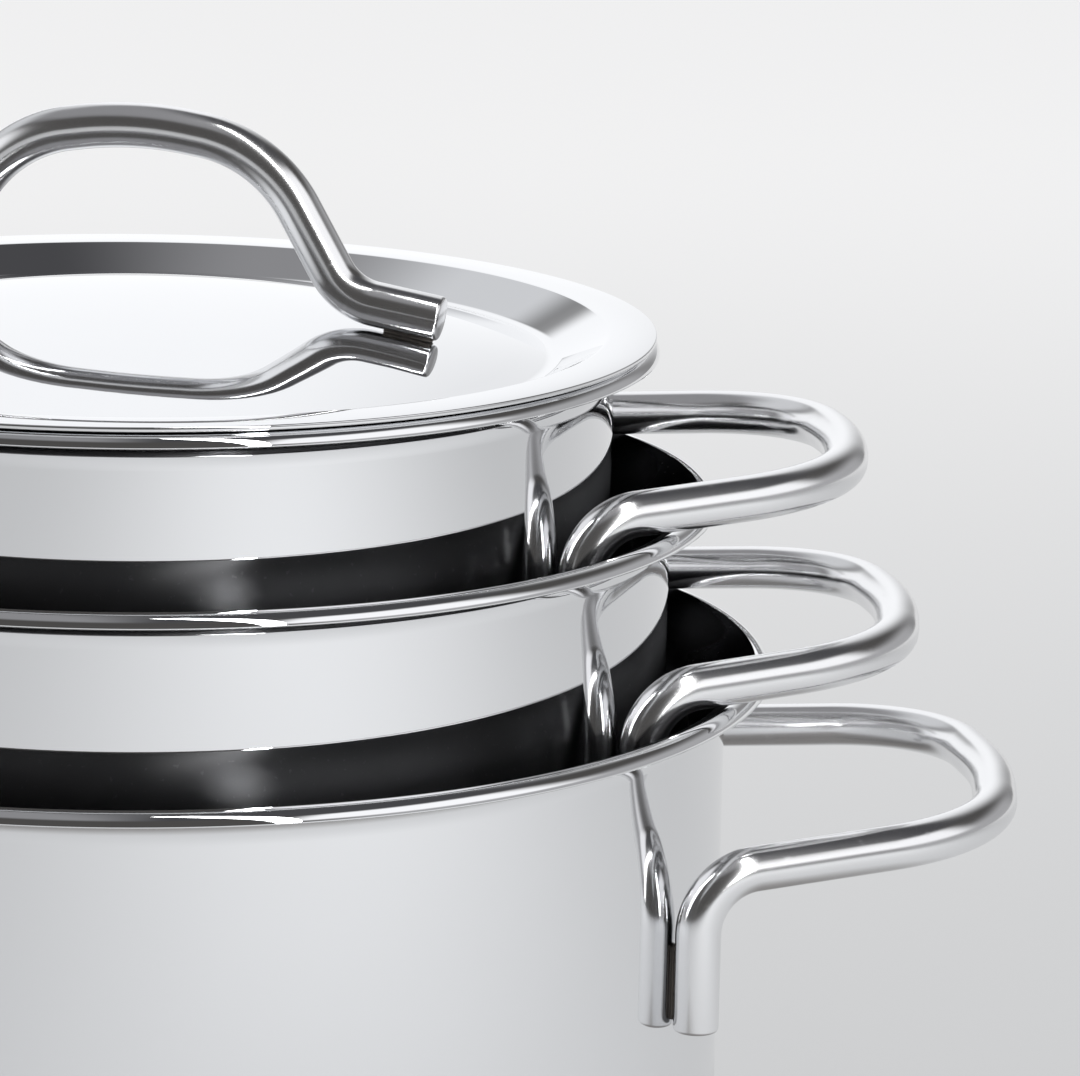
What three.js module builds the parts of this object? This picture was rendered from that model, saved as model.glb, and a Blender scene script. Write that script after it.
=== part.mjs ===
// A nest of three polished steel soup pots under one lid. Each pot hangs by its rod handles on the rim
// of the next larger pot. Millimetres, +Z up, origin at the middle of the largest pot's underside,
// handles on the X axis.
import * as THREE from 'three';

// Sheet and rod stock
const SHEET = 0.8;
const ROD_DIAMETER = 7.5;

// Clearances
const WELD_GAP = 0.3; // rod to the sheet that it is welded to
const HANG_CLEARANCE = 0.3; // hanging rod to the rim under it
const NEST_CLEARANCE = 1.4; // handle leg to the wall of the pot around it
const FLOOR_CLEARANCE = 2; // underside of a nested pot to the floor of the pot around it
const LID_CLEARANCE = 0.3; // lid flange to the rim under it
const LID_PLAY = 0.2; // lid recess to the inside of the wall
const CORE_CLEARANCE = 0.3; // edge of the base core to its cap

// Pots
const SMALL_RADIUS = 80;
const SMALL_HEIGHT = 105;
const MIDDLE_HEIGHT = 115;
const BIG_HEIGHT = 125;
const FLOOR_CORNER_RADIUS = 9; // outside, between wall and floor

// Pouring lip, on its outer side
const LIP_FLARE_RADIUS = 6.6;
const LIP_FLARE_ANGLE = THREE.MathUtils.degToRad(75);
const LIP_CURL_RADIUS = 1.5;

// Base capsule
const CORE_THICKNESS = 4;
const CAP_SHEET = 0.7;
const CAP_EDGE_RADIUS = 1.6;
const CAP_INSET = 9.5; // wall to the edge of the cap

// Side handles: drop from the rim to the loop, reach from the wall to the tip, half spread at the wall
const SMALL_HANDLE_DROP = 22.9;
const MIDDLE_HANDLE_DROP = 25.4;
const BIG_HANDLE_DROP = 26.8;
const SMALL_HANDLE_REACH = 44;
const MIDDLE_HANDLE_REACH = 43.5;
const BIG_HANDLE_REACH = 51;
const SMALL_HANDLE_SPREAD = 43.5;
const MIDDLE_HANDLE_SPREAD = 45.6;
const BIG_HANDLE_SPREAD = 48.5;
const HANDLE_TAPER = 13; // how much the half spread shrinks from the wall to the loop's corners
const HANDLE_RISE = THREE.MathUtils.degToRad(4.6);
const HANDLE_LEG = 26; // loop down to the end of a leg
const LEG_BEND_RADIUS = 10.5;
const LOOP_CORNER_RADIUS = 28;
const LOOP_BULGE = 4.5; // how far the loop's rounded end stands out beyond its corners
const LOOP_END_RADIUS = 75;

// Lid, with heights from the top of its flange
const LID_EDGE_INSET = 0.6; // edge of the lip to the edge of the flange
const LID_EDGE_RADIUS = 1.5;
const LID_SLOPE_WIDTH = 9;
const LID_RECESS_DEPTH = 4.9;
const LID_VALLEY_RADIUS = 4;
const LID_DOME_RISE = 9.4; // valley to the middle of the dome

// Lid handle
const LID_HANDLE_TURN = THREE.MathUtils.degToRad(-16);
const LID_HANDLE_SPAN = 105;
const LID_HANDLE_FOOT = 16.5;
const LID_HANDLE_SHOULDER = 22.4; // half spread of the shoulders
const LID_HANDLE_SHOULDER_HEIGHT = 30.3;
const LID_HANDLE_CROWN_HEIGHT = 33.8;
const FOOT_BEND_RADIUS = 10.5;
const SHOULDER_BEND_RADIUS = 23;
const CROWN_BEND_RADIUS = 60;

// Fineness of the facets
const TURN_SEGMENTS = 40;
const ARC_SEGMENTS = 3;
const DOME_SEGMENTS = 5;
const ROD_SIDES = 10;
const BEND_STEPS = 5;

const SAME_POINT = 1e-6; // outline points closer than this are one point

const ROD_RADIUS = ROD_DIAMETER / 2;
const BASE_THICKNESS = CAP_SHEET + CORE_THICKNESS;
const RADIUS_STEP = WELD_GAP + ROD_DIAMETER + NEST_CLEARANCE + SHEET;

const polishedSteel = { color: 0xd8dade, roughness: 0.12, metalness: 1 };
const rodSteel = { color: 0xc9ccd1, roughness: 0.15, metalness: 1 };
const brushedSteel = { color: 0xb9bcc0, roughness: 0.35, metalness: 1 };
const aluminium = { color: 0xa9adb2, roughness: 0.5, metalness: 1 };

const small = {
  name: 'small_pot',
  radius: SMALL_RADIUS,
  height: SMALL_HEIGHT,
  drop: SMALL_HANDLE_DROP,
  reach: SMALL_HANDLE_REACH,
  spread: SMALL_HANDLE_SPREAD,
};
const middle = {
  name: 'middle_pot',
  radius: SMALL_RADIUS + RADIUS_STEP,
  height: MIDDLE_HEIGHT,
  drop: MIDDLE_HANDLE_DROP,
  reach: MIDDLE_HANDLE_REACH,
  spread: MIDDLE_HANDLE_SPREAD,
};
const big = {
  name: 'big_pot',
  radius: SMALL_RADIUS + 2 * RADIUS_STEP,
  height: BIG_HEIGHT,
  drop: BIG_HANDLE_DROP,
  reach: BIG_HANDLE_REACH,
  spread: BIG_HANDLE_SPREAD,
};

// A bent rod's centre line: straight runs between corners, each corner rounded to its radius.
// Stations are spaced by bend and not by length, so that every bend gets the same number of facets.
class RodLine extends THREE.Curve {
  constructor(corners, bendRadii) {
    super();
    this.stations = [corners[0]];
    bendRadii.forEach((radius, i) => this.addBend(corners[i], corners[i + 1], corners[i + 2], radius));
    this.stations.push(corners.at(-1));
  }

  addBend(before, corner, after, radius) {
    const back = before.clone().sub(corner).normalize();
    const ahead = after.clone().sub(corner).normalize();
    const halfAngle = back.angleTo(ahead) / 2;
    const inward = back.clone().add(ahead).normalize();
    const centre = corner.clone().addScaledVector(inward, radius / Math.sin(halfAngle));
    const start = corner.clone().addScaledVector(back, radius / Math.tan(halfAngle)).sub(centre);
    const axis = new THREE.Vector3().crossVectors(ahead, back).normalize();
    const sweep = Math.PI - 2 * halfAngle;
    for (let k = 0; k <= BEND_STEPS; k++) {
      const spoke = start.clone().applyAxisAngle(axis, (sweep * k) / BEND_STEPS);
      this.stations.push(spoke.add(centre));
    }
  }

  getUtoTmapping(u) {
    return u;
  }

  getPoint(t, target = new THREE.Vector3()) {
    const place = t * (this.stations.length - 1);
    const from = Math.min(Math.floor(place), this.stations.length - 2);
    return target.lerpVectors(this.stations[from], this.stations[from + 1], place - from);
  }
}

function rodGeometry(line) {
  const section = new THREE.Shape().absarc(0, 0, ROD_RADIUS, 0, 2 * Math.PI);
  return new THREE.ExtrudeGeometry(section, {
    steps: line.stations.length - 1,
    curveSegments: ROD_SIDES / 2,
    bevelEnabled: false,
    extrudePath: line,
  });
}

// The points of a path, with the ones that are doubled where two of its curves meet taken once.
function outlinePoints(path) {
  const points = path.getPoints(ARC_SEGMENTS / 2);
  return points.filter((point, i) => i === 0 || point.distanceTo(points[i - 1]) > SAME_POINT);
}

// Turns an outline of radius and height into a solid around Z.
function turned(outline) {
  return new THREE.LatheGeometry(outline, TURN_SEGMENTS).rotateX(Math.PI / 2);
}

// The outline moved to its left by a distance, with points on the axis kept there.
function offsetOutline(outline, distance) {
  const last = outline.length - 1;
  const sideways = outline.slice(1).map((point, i) => {
    const along = point.clone().sub(outline[i]).normalize();
    return new THREE.Vector2(-along.y, along.x);
  });
  return outline.map((point, i) => {
    const before = sideways[Math.max(i - 1, 0)];
    const after = sideways[Math.min(i, last - 1)];
    const normal = before.clone().add(after).normalize();
    const moved = point.clone().addScaledVector(normal, distance / normal.dot(after));
    return point.x === 0 ? new THREE.Vector2(0, point.y + distance * Math.sign(normal.y)) : moved;
  });
}

// A sheet of one thickness whose lower side follows the outline from the axis outwards.
function sheetGeometry(outline) {
  const upper = offsetOutline(outline, SHEET).reverse();
  return turned([...outline, ...upper]);
}

// Middle of the lip's curl, from the wall's outside and the rim's top
const curlOut = LIP_FLARE_RADIUS - (LIP_FLARE_RADIUS - LIP_CURL_RADIUS) * Math.cos(LIP_FLARE_ANGLE);
const curlDown = SHEET + LIP_CURL_RADIUS;
const flareDown = curlDown + (LIP_FLARE_RADIUS - LIP_CURL_RADIUS) * Math.sin(LIP_FLARE_ANGLE);
const lipReach = curlOut + LIP_CURL_RADIUS + SHEET;

// The outside of a pot's sheet from the middle of its floor up the wall and round the lip.
function potOutline(pot) {
  const floor = BASE_THICKNESS;
  const corner = FLOOR_CORNER_RADIUS;
  const turn = Math.PI - LIP_FLARE_ANGLE;
  const path = new THREE.Path();
  path.moveTo(0, floor);
  path.lineTo(pot.radius - corner, floor);
  path.absarc(pot.radius - corner, floor + corner, corner, -Math.PI / 2, 0, false);
  path.absarc(pot.radius + LIP_FLARE_RADIUS, pot.height - flareDown, LIP_FLARE_RADIUS, Math.PI, turn, true);
  path.absarc(pot.radius + curlOut, pot.height - curlDown, LIP_CURL_RADIUS, turn, 0, true);
  return outlinePoints(path);
}

function baseCoreGeometry(pot) {
  const radius = pot.radius - CAP_INSET - CAP_SHEET - CORE_CLEARANCE;
  return turned([
    new THREE.Vector2(0, CAP_SHEET),
    new THREE.Vector2(radius, CAP_SHEET),
    new THREE.Vector2(radius, BASE_THICKNESS),
    new THREE.Vector2(0, BASE_THICKNESS),
  ]);
}

function baseCapGeometry(pot) {
  const radius = pot.radius - CAP_INSET;
  const inside = radius - CAP_SHEET;
  const path = new THREE.Path();
  path.moveTo(0, 0);
  path.lineTo(radius - CAP_EDGE_RADIUS, 0);
  path.absarc(radius - CAP_EDGE_RADIUS, CAP_EDGE_RADIUS, CAP_EDGE_RADIUS, -Math.PI / 2, 0, false);
  path.lineTo(radius, BASE_THICKNESS);
  path.lineTo(inside, BASE_THICKNESS);
  path.lineTo(inside, CAP_SHEET);
  path.lineTo(0, CAP_SHEET);
  return turned(outlinePoints(path));
}

// Centre line of the handle on the +X side, with heights from the pot's rim.
function sideHandleLine(pot) {
  const legCircle = pot.radius + WELD_GAP + ROD_RADIUS;
  const legX = Math.sqrt(legCircle ** 2 - pot.spread ** 2);
  const tipX = pot.radius + pot.reach - ROD_RADIUS;
  const cornerX = tipX - LOOP_BULGE;
  const cornerY = pot.spread - HANDLE_TAPER;
  const heightAt = (x) => -pot.drop + (x - legX) * Math.tan(HANDLE_RISE);
  const corners = [
    new THREE.Vector3(legX, -pot.spread, -pot.drop - HANDLE_LEG),
    new THREE.Vector3(legX, -pot.spread, -pot.drop),
    new THREE.Vector3(cornerX, -cornerY, heightAt(cornerX)),
    new THREE.Vector3(tipX, 0, heightAt(tipX)),
    new THREE.Vector3(cornerX, cornerY, heightAt(cornerX)),
    new THREE.Vector3(legX, pot.spread, -pot.drop),
    new THREE.Vector3(legX, pot.spread, -pot.drop - HANDLE_LEG),
  ];
  return new RodLine(corners, [
    LEG_BEND_RADIUS,
    LOOP_CORNER_RADIUS,
    LOOP_END_RADIUS,
    LOOP_CORNER_RADIUS,
    LEG_BEND_RADIUS,
  ]);
}

// How far a pot's rim stays above the rim of the pot that carries it: far enough that its handles lie on
// the carrier's lip, and that its underside stays off the carrier's floor.
function hangingStep(pot, carrier) {
  const samples = 400;
  const rod = sideHandleLine(pot)
    .getPoints(samples)
    .map((point) => new THREE.Vector2(Math.hypot(point.x, point.y), point.z));
  const lip = offsetOutline(potOutline(carrier), SHEET).filter((point) => point.x >= carrier.radius);
  const reach = ROD_RADIUS + HANG_CLEARANCE;
  const overLip = lip.flatMap((edge) => {
    const depth = edge.y - carrier.height;
    return rod
      .filter((point) => Math.abs(point.x - edge.x) < reach)
      .map((point) => depth + Math.sqrt(reach ** 2 - (point.x - edge.x) ** 2) - point.y);
  });
  const overFloor = pot.height - carrier.height + BASE_THICKNESS + SHEET + FLOOR_CLEARANCE;
  return Math.max(overFloor, ...overLip);
}

function part(name, geometry, finish) {
  const mesh = new THREE.Mesh(geometry, new THREE.MeshStandardMaterial(finish));
  mesh.name = name;
  return mesh;
}

function buildPot(pot) {
  const group = new THREE.Group();
  group.add(part(`${pot.name}_shell`, sheetGeometry(potOutline(pot)), polishedSteel));
  group.add(part(`${pot.name}_base_core`, baseCoreGeometry(pot), aluminium));
  group.add(part(`${pot.name}_base_cap`, baseCapGeometry(pot), brushedSteel));
  ['right', 'left'].forEach((side, turns) => {
    const handle = part(`${pot.name}_${side}_handle`, rodGeometry(sideHandleLine(pot)), rodSteel);
    handle.position.z = pot.height;
    handle.rotation.z = turns * Math.PI;
    group.add(handle);
  });
  return group;
}

const lidRadius = SMALL_RADIUS + lipReach - LID_EDGE_INSET;
const lidRecessRadius = SMALL_RADIUS - SHEET - LID_PLAY;
const domeEdge = lidRecessRadius - LID_SLOPE_WIDTH;
const domeRadius = (domeEdge ** 2 + LID_DOME_RISE ** 2) / (2 * LID_DOME_RISE);
const domeTop = LID_DOME_RISE - LID_RECESS_DEPTH;

// The lid's sheet from the middle of the dome to the edge of the flange, along its upper side.
function lidOutline() {
  const domeAngle = Math.asin(domeEdge / domeRadius);
  const slopeAngle = Math.atan2(LID_RECESS_DEPTH, LID_SLOPE_WIDTH);
  const valleyTurn = domeAngle + slopeAngle;
  const valleyRun = LID_VALLEY_RADIUS * Math.tan(valleyTurn / 2);
  const edgeRun = LID_EDGE_RADIUS * Math.tan(slopeAngle / 2);
  const valley = new THREE.Vector2(domeEdge, -LID_RECESS_DEPTH);
  const edge = new THREE.Vector2(lidRecessRadius, 0);
  const slope = edge.clone().sub(valley).normalize();
  const valleyEnd = valley.clone().addScaledVector(slope, valleyRun);
  const edgeStart = edge.clone().addScaledVector(slope, -edgeRun);
  const domeEndAngle = Math.PI / 2 - domeAngle + valleyRun / domeRadius;
  const dome = new THREE.Path();
  dome.absarc(0, domeTop - domeRadius, domeRadius, Math.PI / 2, domeEndAngle, true);
  const domePoints = dome.getPoints(DOME_SEGMENTS / 2);
  domePoints[0].x = 0;
  const domeEnd = domePoints.pop();
  const border = new THREE.Path();
  border.moveTo(domeEnd.x, domeEnd.y);
  border.quadraticCurveTo(valley.x, valley.y, valleyEnd.x, valleyEnd.y);
  border.lineTo(edgeStart.x, edgeStart.y);
  border.quadraticCurveTo(edge.x, edge.y, edge.x + edgeRun, edge.y);
  border.lineTo(lidRadius, 0);
  return [...domePoints, ...border.getPoints(ARC_SEGMENTS)];
}

function lidGeometry() {
  const upper = lidOutline();
  const lower = offsetOutline(upper, -SHEET);
  return turned([...lower, ...upper.reverse()]);
}

// Centre line of the lid handle in the XZ plane. Each foot lies along the dome, a weld gap above it.
function lidHandleLine() {
  const lift = domeRadius + WELD_GAP + ROD_RADIUS;
  const footMiddle = Math.asin((LID_HANDLE_SPAN - LID_HANDLE_FOOT) / 2 / lift);
  const footX = lift * Math.sin(footMiddle);
  const footZ = domeTop - domeRadius + lift * Math.cos(footMiddle);
  const footHalf = LID_HANDLE_FOOT / 2;
  const endX = footX + footHalf * Math.cos(footMiddle);
  const endZ = footZ - footHalf * Math.sin(footMiddle);
  const bendX = footX - footHalf * Math.cos(footMiddle);
  const bendZ = footZ + footHalf * Math.sin(footMiddle);
  const rightHalf = [
    new THREE.Vector3(endX, 0, endZ),
    new THREE.Vector3(bendX, 0, bendZ),
    new THREE.Vector3(LID_HANDLE_SHOULDER, 0, LID_HANDLE_SHOULDER_HEIGHT),
  ];
  const crown = new THREE.Vector3(0, 0, LID_HANDLE_CROWN_HEIGHT);
  const leftHalf = rightHalf.map((point) => new THREE.Vector3(-point.x, 0, point.z)).reverse();
  const sideBends = [FOOT_BEND_RADIUS, SHOULDER_BEND_RADIUS];
  return new RodLine(
    [...rightHalf, crown, ...leftHalf],
    [...sideBends, CROWN_BEND_RADIUS, ...sideBends.toReversed()],
  );
}

function buildLid() {
  const group = new THREE.Group();
  group.add(part('lid_shell', lidGeometry(), polishedSteel));
  const handle = part('lid_handle', rodGeometry(lidHandleLine()), rodSteel);
  handle.rotation.z = LID_HANDLE_TURN;
  group.add(handle);
  return group;
}

const middleRim = BIG_HEIGHT + hangingStep(middle, big);
const smallRim = middleRim + hangingStep(small, middle);

const nest = new THREE.Group();
const bigPot = buildPot(big);
const middlePot = buildPot(middle);
middlePot.position.z = middleRim - MIDDLE_HEIGHT;
const smallPot = buildPot(small);
smallPot.position.z = smallRim - SMALL_HEIGHT;
const lid = buildLid();
lid.position.z = smallRim + LID_CLEARANCE + SHEET;
nest.add(bigPot, middlePot, smallPot, lid);

export default nest;
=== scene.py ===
"""Looks of a nest of soup pots around its CAD frame: shells, base pans, rod handles and a lid."""
import math

import bpy
from bpy.props import FloatProperty, FloatVectorProperty, IntProperty, PointerProperty
from mathutils import Matrix, Vector


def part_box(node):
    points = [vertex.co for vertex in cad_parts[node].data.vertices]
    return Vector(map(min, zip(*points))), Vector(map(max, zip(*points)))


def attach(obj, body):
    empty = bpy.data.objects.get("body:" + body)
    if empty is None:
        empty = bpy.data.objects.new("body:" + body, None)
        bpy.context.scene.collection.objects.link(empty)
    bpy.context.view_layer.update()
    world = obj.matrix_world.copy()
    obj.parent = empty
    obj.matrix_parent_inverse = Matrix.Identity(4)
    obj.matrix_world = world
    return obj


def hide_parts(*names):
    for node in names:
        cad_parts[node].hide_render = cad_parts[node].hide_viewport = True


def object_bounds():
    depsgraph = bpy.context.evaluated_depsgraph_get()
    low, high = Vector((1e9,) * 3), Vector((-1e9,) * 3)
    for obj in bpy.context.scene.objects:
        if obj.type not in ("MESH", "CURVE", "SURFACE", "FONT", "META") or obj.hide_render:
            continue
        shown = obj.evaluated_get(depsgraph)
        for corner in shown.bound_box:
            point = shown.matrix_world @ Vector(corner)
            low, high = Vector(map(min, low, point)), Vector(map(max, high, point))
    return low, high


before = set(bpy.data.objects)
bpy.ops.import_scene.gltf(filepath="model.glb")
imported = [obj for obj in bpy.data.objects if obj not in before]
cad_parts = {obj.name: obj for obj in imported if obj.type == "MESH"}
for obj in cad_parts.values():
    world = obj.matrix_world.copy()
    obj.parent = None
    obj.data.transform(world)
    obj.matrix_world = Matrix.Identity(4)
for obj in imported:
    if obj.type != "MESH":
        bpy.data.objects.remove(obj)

bl_info = {
    "name": "Soup Pot Nest",
    "version": (1, 0, 0),
    "blender": (4, 5, 0),
    "location": "View3D > Sidebar > Soup Pots",
    "description": "Models the shells, bases, handles and lid of a nest of polished soup pots",
    "category": "Mesh",
}

CAD_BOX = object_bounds()
POTS = ("big_pot", "middle_pot", "small_pot")
UP = Vector((0, 0, 1))

# Angle of a sharp edge, distance of doubled points, and how far a face's normal lies along a direction
SHARP = math.radians(60)
MERGE_DISTANCE = 1e-6
FACING = 0.9
UNDERSIDE = -0.1

# Facets of small roundings, weld seams and the stage's floor, and a disc's rings as shares of its radius
EDGE_STEPS = 2
ROD_END_STEPS = 4
SEAM_SIDES = 16
FLOOR_SIDES = 96
DISC_RINGS = (0.1, 0.4, 0.7)

# Fields of the studio in reflections: from where to where each one blends, along a direction of length 1
ROOF_HEIGHT = (0.66, 0.86)
ROOF_LEFT = (-0.1, 0.15)
BACKDROP_BEHIND = (-0.05, 0.3)
BACKDROP_RIGHT = (0.05, 0.6)
BACKDROP_LEFT = (0.7, 0.85)
CORNER_LEFT = (0.1, 0.2)
CORNER_HEIGHT = (0.28, 0.42)
CORNER_EDGE_FOOT = (0.26, 0.36)
CORNER_EDGE_TOP = (0.38, 0.5)
BESIDE_RIGHT = (0.35, 0.75)
BESIDE_HEIGHT = (0.25, 0.6)
SCREEN_RIGHT = (0.36, 0.5)
SCREEN_BEHIND = (-0.25, 0.1)
SCREEN_FOOT = (0.15, 0.3)
SCREEN_TOP = (0.7, 0.82)


def length(name, description, default):
    """A size in metres that a user may change."""
    return FloatProperty(name=name, description=description, default=default, unit="LENGTH", precision=5)


def angle(name, description, degrees):
    """An angle that a user may change."""
    return FloatProperty(name=name, description=description, default=math.radians(degrees), subtype="ANGLE")


def share(name, description, default):
    """A number from 0 to 1 that a user may change."""
    return FloatProperty(
        name=name, description=description, default=default, min=0, max=1, subtype="FACTOR",
    )


def amount(name, description, default):
    """A plain number that a user may change."""
    return FloatProperty(name=name, description=description, default=default)


def colour(name, description, default):
    """A colour that a user may change."""
    return FloatVectorProperty(name=name, description=description, default=default, size=3, subtype="COLOR")


class SheetSizes(bpy.types.PropertyGroup):
    """Sizes of the pressed pots and their bases."""

    sheet: length("Sheet", "Thickness of the pressed sheet", 0.0008)
    floor_corner: length("Floor corner", "Radius between wall and floor, outside", 0.009)
    flare_radius: length("Lip flare", "Radius of the lip's outward sweep, outside", 0.0066)
    flare_angle: angle("Lip sweep", "How far the lip sweeps out from the wall", 75)
    curl_radius: length("Lip curl", "Radius of the lip's turned-down edge", 0.0015)
    edge_round: length("Edge rounding", "Rounding of cut sheet edges", 0.0002)
    # How far up the lip the painted shade of the dark insides reaches
    inside_shade_turn: angle("Coating edge", "How far the coating follows the lip towards level", 82)
    pan_sheet: length("Pan sheet", "Thickness of the base pan", 0.0007)
    pan_edge: length("Pan edge", "Radius round the base pan's edge", 0.0016)
    segments: IntProperty(name="Segments", description="Facets round a turned piece", default=192, min=32)
    arc_steps: IntProperty(name="Arc steps", description="Facets along a round stretch", default=12, min=3)


class RodSizes(bpy.types.PropertyGroup):
    """Sizes of the rods and of the side handles bent from them."""

    diameter: length("Rod", "Diameter of the rods", 0.0075)
    weld_gap: length("Weld gap", "Rod to the sheet that it is welded to", 0.0003)
    weld_width: length("Weld width", "Width of a weld seam", 0.0024)
    weld_depth: length("Weld depth", "Thickness of a weld seam", 0.0008)
    leg: length("Leg", "Loop down to the end of a leg", 0.026)
    leg_bend: length("Leg bend", "Radius between leg and loop", 0.0105)
    loop_corner: length("Loop corner", "Radius at the loop's corners", 0.028)
    loop_end: length("Loop end", "Radius at the middle of the loop's end", 0.075)
    loop_bulge: length("Loop bulge", "How far the loop's end stands out beyond its corners", 0.0045)
    taper: length("Taper", "Shrink of the half spread from the wall to the loop's corners", 0.013)
    rise: angle("Rise", "Upward slope of the loop from the wall", 4.6)
    end_round: length("End rounding", "Rounding of the cut rod ends", 0.0006)
    sides: IntProperty(name="Sides", description="Facets round a rod", default=40, min=8)
    bend_steps: IntProperty(name="Bend steps", description="Facets along a bend", default=20, min=3)


class LidSizes(bpy.types.PropertyGroup):
    """Sizes of the lid, with heights from the top of its flange."""

    play: length("Play", "Lid recess to the inside of the wall", 0.0002)
    slope_width: length("Slope width", "Width of the slope inside the flange", 0.009)
    recess_depth: length("Recess depth", "Flange down to the valley", 0.0049)
    valley_radius: length("Valley radius", "Radius between slope and dome", 0.004)
    edge_radius: length("Edge radius", "Radius between flange and slope", 0.0015)
    dome_rise: length("Dome rise", "Valley up to the middle of the dome", 0.0094)
    handle_turn: angle("Handle turn", "Turn of the arch handle about the axis", -16)
    handle_span: length("Handle span", "Arch handle from end to end", 0.105)
    handle_foot: length("Handle foot", "Length of a foot on the dome", 0.0165)
    shoulder: length("Shoulder", "Half spread of the arch's shoulders", 0.0224)
    shoulder_height: length("Shoulder height", "Flange up to the shoulders' corners", 0.0303)
    crown_height: length("Crown height", "Flange up to the crown's corner", 0.0338)
    foot_bend: length("Foot bend", "Radius between foot and arch", 0.0105)
    shoulder_bend: length("Shoulder bend", "Radius at the shoulders", 0.023)
    crown_bend: length("Crown bend", "Radius at the crown", 0.06)


class Finishes(bpy.types.PropertyGroup):
    """Colours and gloss of the metals."""

    polished: colour("Polished steel", "Colour of the mirror-bright sheet", (0.85, 0.855, 0.865))
    rod: colour("Rod steel", "Colour of the bright rods", (0.84, 0.842, 0.85))
    # Painted shade: the insides' dark colour stands in for the shade in the narrow gaps between the nested
    # pots
    inside_shade: colour("Coating", "Colour of the pots' coated insides", (0.09, 0.09, 0.092))
    inside_glance: share("Coating glance", "How much of the glancing light the coating returns", 0.2)
    weld: colour("Weld", "Colour of the weld seams", (0.16, 0.145, 0.13))
    base: colour("Base steel", "Colour of the turned base pans", (0.6, 0.605, 0.61))
    core: colour("Core", "Colour of the aluminium discs", (0.62, 0.64, 0.66))
    polished_roughness: share("Polish", "Roughness of the mirror-bright sheet", 0.012)
    rod_roughness: share("Rod polish", "Roughness of the rods", 0.13)
    inside_roughness: share("Coating gloss", "Roughness of the pots' insides", 0.3)
    inside_brush: share("Coating brushing", "How far the coating spreads light up and down the wall", 1.0)
    weld_roughness: share("Weld finish", "Roughness of the weld seams", 0.4)
    base_roughness: share("Turned", "Roughness of the base pans", 0.3)
    core_roughness: share("Core finish", "Roughness of the aluminium discs", 0.45)


class StageLook(bpy.types.PropertyGroup):
    """Floor, studio and camera."""

    # Painted shade: the floor darkens from its far colour behind the pots to its near colour in front, as
    # falloff of the light
    shaded_near_floor: colour("Floor near", "Floor colour beside the pots", (0.6, 0.606, 0.615))
    far_floor: colour("Floor far", "Floor colour far from the pots", (0.95, 0.95, 0.955))
    # Painted shadow: close to the pots the floor is darker in reflections only, in place of the pots'
    # contact shadow
    painted_shadow_floor: colour("Floor close by", "Floor colour close by in reflections", (0.27, 0.262, 0.256))
    painted_shadow_from: length("Close from", "Where the close colour starts to fade, from the axis", 0.125)
    painted_shadow_to: length("Close to", "Where the close colour has faded, from the axis", 0.21)
    near_at: length("Near", "Where the floor's near colour ends", -0.15)
    far_at: length("Far", "Where the floor's far colour begins", 1.4)
    floor_radius: length("Floor", "Radius of the floor", 8)
    glow: share("Floor glow", "Share of the floor that is shown without shadow", 0.6)
    mirror_glow: share("Mirrored glow", "Share of the floor that is mirrored without shadow", 0.2)
    # Painted light: in reflections the floor's colour is brightened in a pool under the front lamp
    pool: amount("Pool", "Extra brightness of the floor under the front lamp in reflections", 1.8)
    pool_place: FloatVectorProperty(
        name="Pool place", description="Middle of the pool of light", default=(0.33, -0.42), size=2,
        unit="LENGTH",
    )
    pool_reach: length("Pool reach", "Radius of the pool of light", 0.65)
    backdrop: colour("Backdrop", "Colour behind the pots in reflections", (1.05, 1.06, 1.08))
    backdrop_corner: colour("Backdrop corner", "Colour of the backdrop's upper left", (0.68, 0.69, 0.71))
    backdrop_edge: share("Backdrop edge", "Darkness along the lower edge of that corner", 0.7)
    ceiling: colour("Ceiling", "Colour overhead in reflections", (0.07, 0.07, 0.075))
    ceiling_left: colour("Ceiling left", "Colour overhead to the left in reflections", (0.28, 0.28, 0.29))
    back_room: colour("Room behind", "Colour behind the camera in reflections", (0.08, 0.077, 0.075))
    right_room: colour("Room right", "Colour right of the pots in reflections", (0.42, 0.42, 0.43))
    side_screen: colour("Side screen", "Colour of the screen at the right front", (1.1, 1.1, 1.12))
    fill: colour("Fill light", "Even light on dull surfaces", (0.75, 0.75, 0.75))
    softbox_width: length("Softbox width", "Width of the front lamp", 0.11)
    softbox_height: length("Softbox height", "Height of the front lamp", 2.0)
    softbox_distance: length("Softbox distance", "Front lamp from the pots", 1.2)
    softbox_turn: angle("Softbox turn", "Front lamp to the right of the photographed side", 25.5)
    softbox_rise: angle("Softbox rise", "Front lamp above the floor", 42)
    softbox_light: amount("Softbox light", "Brightness of the front lamp", 12.0)
    camera_distance: length("Camera distance", "Camera in front of the pots' axis", 0.9313)
    camera_height: length("Camera height", "Camera above the floor", 0.3543)
    camera_yaw: angle("Camera yaw", "Camera turned to the right", 4.2)
    camera_pitch: angle("Camera pitch", "Camera turned down", 12.714)
    camera_roll: angle("Camera roll", "Camera turned about its own line", 1.209)
    lens: FloatProperty(name="Lens", description="Focal length", default=189.03, unit="CAMERA")


class NestSettings(bpy.types.PropertyGroup):
    """All settings of the nest."""

    sheet: PointerProperty(type=SheetSizes)
    rod: PointerProperty(type=RodSizes)
    lid: PointerProperty(type=LidSizes)
    finish: PointerProperty(type=Finishes)
    stage: PointerProperty(type=StageLook)


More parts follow.
